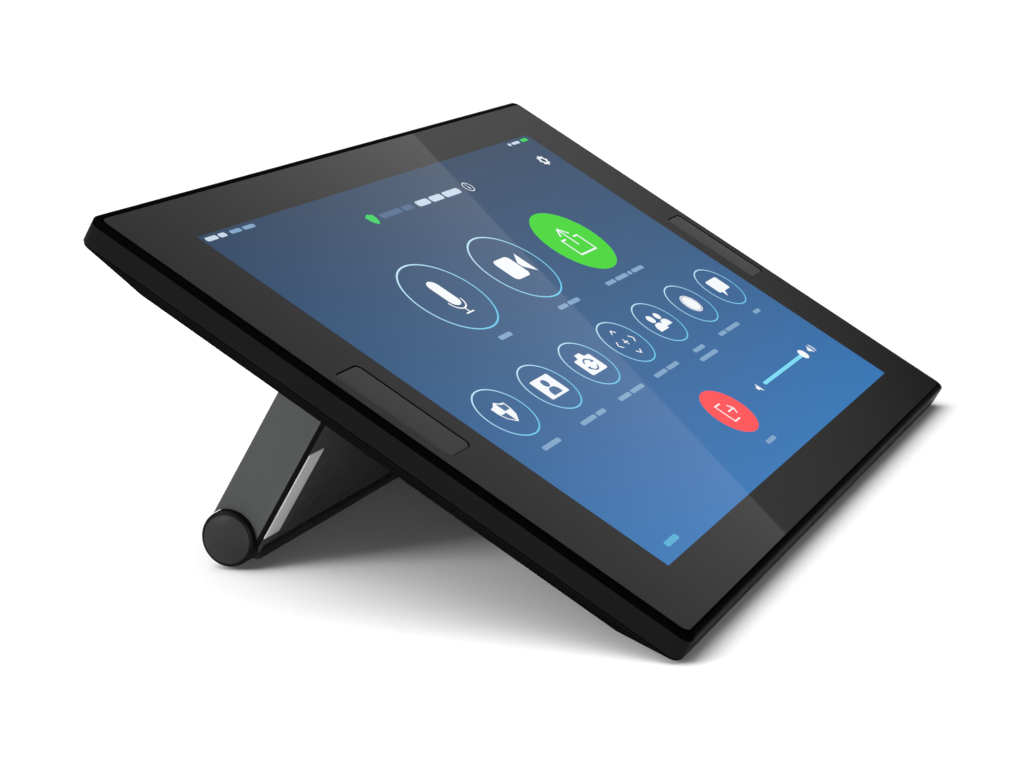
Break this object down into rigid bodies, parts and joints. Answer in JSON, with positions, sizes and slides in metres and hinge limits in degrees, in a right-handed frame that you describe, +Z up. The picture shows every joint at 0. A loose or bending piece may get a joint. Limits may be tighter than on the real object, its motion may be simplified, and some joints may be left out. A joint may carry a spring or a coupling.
{
  "type": "tabletop touch call console",
  "caption": "Flat wide touch display for calls, held at a fixed slope by one full-width rear leg with a round foot.",
  "frame": {"origin": "on the desk plane, below the middle of the object's box", "axes": "+X to the user's right along the display, +Y from the user towards the back, +Z up from the desk"},
  "size_m": [0.267, 0.148, 0.0898],
  "materials": {
    "glass": "polished, black printed border",
    "sensor_glass": "dark translucent, satin",
    "frame_black": "fine satin",
    "shell_black": "fine matt texture",
    "grey_texture": "fine spark-eroded texture",
    "foot_black": "satin",
    "rubber": "matt",
    "tag_metal": "brushed",
    "clear_sheet": "clear",
    "white_sheet": "matt white",
    "lcd": "lit picture",
    "tape": "matt",
    "plate_metal": "rolled",
    "bracket_steel": "zinc plated",
    "screw_steel": "zinc plated",
    "screw_black": "black oxide",
    "board_green": "solder mask",
    "ribbon": "polyimide film",
    "chip": "moulded",
    "connector": "moulded",
    "led": "lamp bar",
    "gap_pad": "soft",
    "magnet": "nickel plated",
    "socket_metal": "stamped",
    "clamp_plastic": "moulded"
  },
  "bodies": {
    "console": {"cover_glass": "glass", "glass_tape": "tape", "touch_film": "clear_sheet", "lcd_panel": "lcd", "diffuser_sheets": "white_sheet", "light_guide": "clear_sheet", "led_bar": "led", "backlight_tray": "plate_metal", "driver_board": "board_green", "display_ribbon": "ribbon", "touch_board": "board_green", "touch_ribbon": "ribbon", "front_frame": "frame_black", "back_cover": "shell_black", "chassis_plate": "plate_metal", "frame_screws": "screw_steel", "housing_screws": "screw_black", "sensor_window_left": "sensor_glass", "sensor_window_right": "sensor_glass", "sensor_board_left": "board_green", "sensor_board_right": "board_green", "sensor_chips": "chip", "sensor_lead_left": "ribbon", "sensor_lead_right": "ribbon", "main_board": "board_green", "processor": "chip", "memory_chips": "chip", "board_connectors": "connector", "board_screws": "screw_steel", "thermal_pad": "gap_pad", "heat_spreader": "plate_metal", "front_feet": "rubber", "leg_bracket": "bracket_steel", "bracket_screws": "screw_steel", "leg_shell": "shell_black", "leg_screws": "screw_steel", "side_panel_left": "grey_texture", "side_panel_right": "grey_texture", "socket_board": "board_green", "usb_sockets": "socket_metal", "socket_screws": "screw_steel", "board_ribbon": "ribbon", "cable_clamp": "clamp_plastic", "cable_grommet": "rubber", "foot_tube": "foot_black", "foot_screws": "screw_steel", "foot_weight": "bracket_steel", "foot_cap_left": "foot_black", "foot_cap_right": "foot_black", "foot_strip": "rubber", "tag_plate": "tag_metal"},
    "rear_cover": {"cable_cover": "grey_texture", "cover_magnets": "magnet"}
  },
  "joints": [
    {"name": "cable_cover_pull", "type": "slide", "parent": "console", "child": "rear_cover", "axis": [0, 0.866, 0.5], "range_m": [0, 0.04]}
  ]
}
